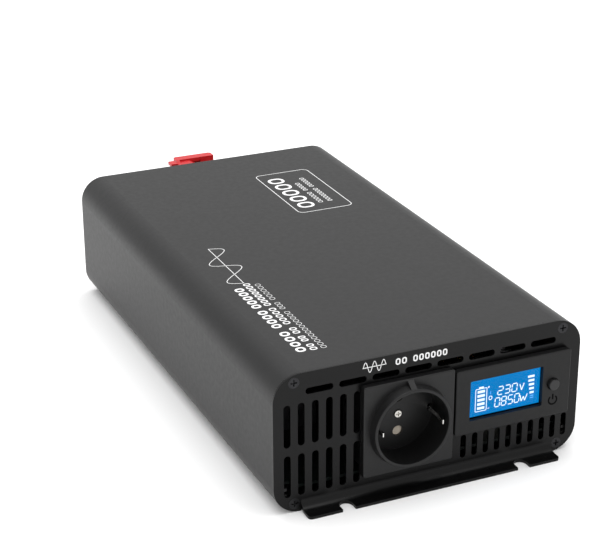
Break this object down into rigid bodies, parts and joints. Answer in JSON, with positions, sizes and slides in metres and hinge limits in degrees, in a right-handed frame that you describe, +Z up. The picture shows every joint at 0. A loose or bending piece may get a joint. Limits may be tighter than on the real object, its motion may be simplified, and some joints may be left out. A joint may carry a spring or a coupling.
{
  "type": "power inverter",
  "caption": "Flat extruded power inverter: slotted front panel with round two-pin socket, lit display and power button; fans and covered battery studs behind.",
  "frame": {"origin": "middle of the housing's flat bottom face", "axes": "+Z up, +Y from the socket end to the battery terminal end, +X to the right as seen from the socket end"},
  "size_m": [0.171, 0.3465, 0.075],
  "materials": {
    "housing_paint": "matt charcoal powder coat",
    "panel_paint": "satin black powder coat",
    "black_screws": "black oxide steel",
    "bright_screws": "nickel plated steel",
    "socket_plastic": "fine textured moulding",
    "bezel_plastic": "fine textured moulding",
    "carrier_plastic": "glass filled moulding",
    "shutter_plastic": "cream moulding",
    "contact_brass": "bright brass",
    "earth_metal": "nickel plated spring strip",
    "display_glass": "clear window",
    "lcd": "blue backlit display",
    "circuit_board": "black solder mask",
    "button_plastic": "satin moulding",
    "switch_plastic": "black moulding",
    "fan_plastic": "black moulding",
    "guard_wire": "black coated wire",
    "red_plastic": "red moulding",
    "black_plastic": "black moulding",
    "terminal_brass": "machined brass",
    "washer_steel": "zinc plated steel",
    "copper": "copper strip",
    "ferrite": "sintered ferrite",
    "winding_tape": "yellow insulating tape over copper",
    "capacitor_sleeve": "shrink sleeve",
    "device_epoxy": "moulded epoxy",
    "sink_aluminium": "extruded aluminium",
    "inductor_core": "coated powder core",
    "enamelled_wire": "enamelled copper",
    "fuse_plastic": "tinted nylon",
    "film_capacitor": "dark grey box",
    "lead_sleeve": "insulated lead",
    "ribbon": "grey flat cable",
    "connector_plastic": "natural nylon",
    "white_print": "screen printed ink"
  },
  "bodies": {
    "casing": {"housing": "housing_paint", "front_panel": "panel_paint", "rear_panel": "panel_paint", "front_panel_screws": "black_screws", "rear_panel_screws": "black_screws", "ground_screw": "bright_screws", "socket_body": "socket_plastic", "socket_contact_carrier": "carrier_plastic", "socket_pin_contacts": "contact_brass", "socket_earth_strap": "earth_metal", "socket_screw": "bright_screws", "display_bezel": "bezel_plastic", "display_window": "display_glass", "lcd_module": "lcd", "display_board": "circuit_board", "display_board_screws": "bright_screws", "button_switch": "switch_plastic", "left_fan_frame": "fan_plastic", "right_fan_frame": "fan_plastic", "fan_guards": "guard_wire", "fan_screws": "black_screws", "main_board": "circuit_board", "transformer_cores": "ferrite", "transformer_windings": "winding_tape", "bus_capacitors": "capacitor_sleeve", "input_capacitors": "capacitor_sleeve", "input_transistors": "device_epoxy", "output_transistors": "device_epoxy", "heat_sinks": "sink_aluminium", "inductor_core": "inductor_core", "inductor_turns": "enamelled_wire", "fuses": "fuse_plastic", "driver_boards": "circuit_board", "filter_capacitors": "film_capacitor", "mains_leads": "lead_sleeve", "display_ribbon": "ribbon", "ribbon_plugs": "connector_plastic", "fan_leads": "lead_sleeve", "positive_terminal_base": "red_plastic", "positive_stud": "terminal_brass", "positive_lock_nut": "terminal_brass", "positive_hinge_pin": "washer_steel", "positive_busbar": "copper", "negative_terminal_base": "black_plastic", "negative_stud": "terminal_brass", "negative_lock_nut": "terminal_brass", "negative_hinge_pin": "washer_steel", "negative_busbar": "copper"},
    "power_button": {"power_button": "button_plastic", "switch_plunger": "switch_plastic"},
    "socket_shutter": {"socket_shutter": "shutter_plastic"},
    "left_fan": {"left_fan_rotor": "fan_plastic"},
    "right_fan": {"right_fan_rotor": "fan_plastic"},
    "positive_washers": {"positive_washers": "washer_steel"},
    "positive_nut": {"positive_nut": "terminal_brass"},
    "positive_cover": {"positive_cover": "red_plastic"},
    "negative_washers": {"negative_washers": "washer_steel"},
    "negative_nut": {"negative_nut": "terminal_brass"},
    "negative_cover": {"negative_cover": "black_plastic"}
  },
  "joints": [
    {"name": "power_button_press", "type": "slide", "parent": "casing", "child": "power_button", "axis": [0, 1, 0], "range_m": [0, 0.0012], "stiffness_N_per_m": 900, "springref_m": -0.0006},
    {"name": "socket_shutter_turn", "type": "hinge", "parent": "casing", "child": "socket_shutter", "pos_m": [-0.01425, -0.141, 0.03695], "axis": [0, 1, 0], "range_deg": [0, 38], "stiffness_Nm_per_rad": 0.02, "springref_deg": -14.32},
    {"name": "left_fan_spin", "type": "hinge", "parent": "casing", "child": "left_fan", "pos_m": [-0.052, 0.1425, 0.0375], "axis": [0, 1, 0], "continuous": true},
    {"name": "right_fan_spin", "type": "hinge", "parent": "casing", "child": "right_fan", "pos_m": [0.052, 0.1425, 0.0375], "axis": [0, 1, 0], "continuous": true},
    {"name": "positive_cover_swing", "type": "hinge", "parent": "casing", "child": "positive_cover", "pos_m": [0.0115, 0.1755, 0.0564], "axis": [0, 0, -1], "range_deg": [0, 100]},
    {"name": "positive_nut_travel", "type": "slide", "parent": "casing", "child": "positive_washers", "axis": [0, 1, 0], "range_m": [0, 0.005]},
    {"name": "positive_nut_turn", "type": "hinge", "parent": "positive_washers", "child": "positive_nut", "pos_m": [0, 0.1735, 0.0564], "axis": [0, 1, 0], "range_deg": [0, 1440]},
    {"name": "negative_cover_swing", "type": "hinge", "parent": "casing", "child": "negative_cover", "pos_m": [0.0115, 0.1755, 0.026], "axis": [0, 0, -1], "range_deg": [0, 100]},
    {"name": "negative_nut_travel", "type": "slide", "parent": "casing", "child": "negative_washers", "axis": [0, 1, 0], "range_m": [0, 0.005]},
    {"name": "negative_nut_turn", "type": "hinge", "parent": "negative_washers", "child": "negative_nut", "pos_m": [0, 0.1735, 0.026], "axis": [0, 1, 0], "range_deg": [0, 1440]}
  ],
  "couplings": [
    {"joint": "positive_nut_travel", "follows": "positive_nut_turn", "m_per_rad": 0.00019894},
    {"joint": "negative_nut_travel", "follows": "negative_nut_turn", "m_per_rad": 0.00019894}
  ]
}
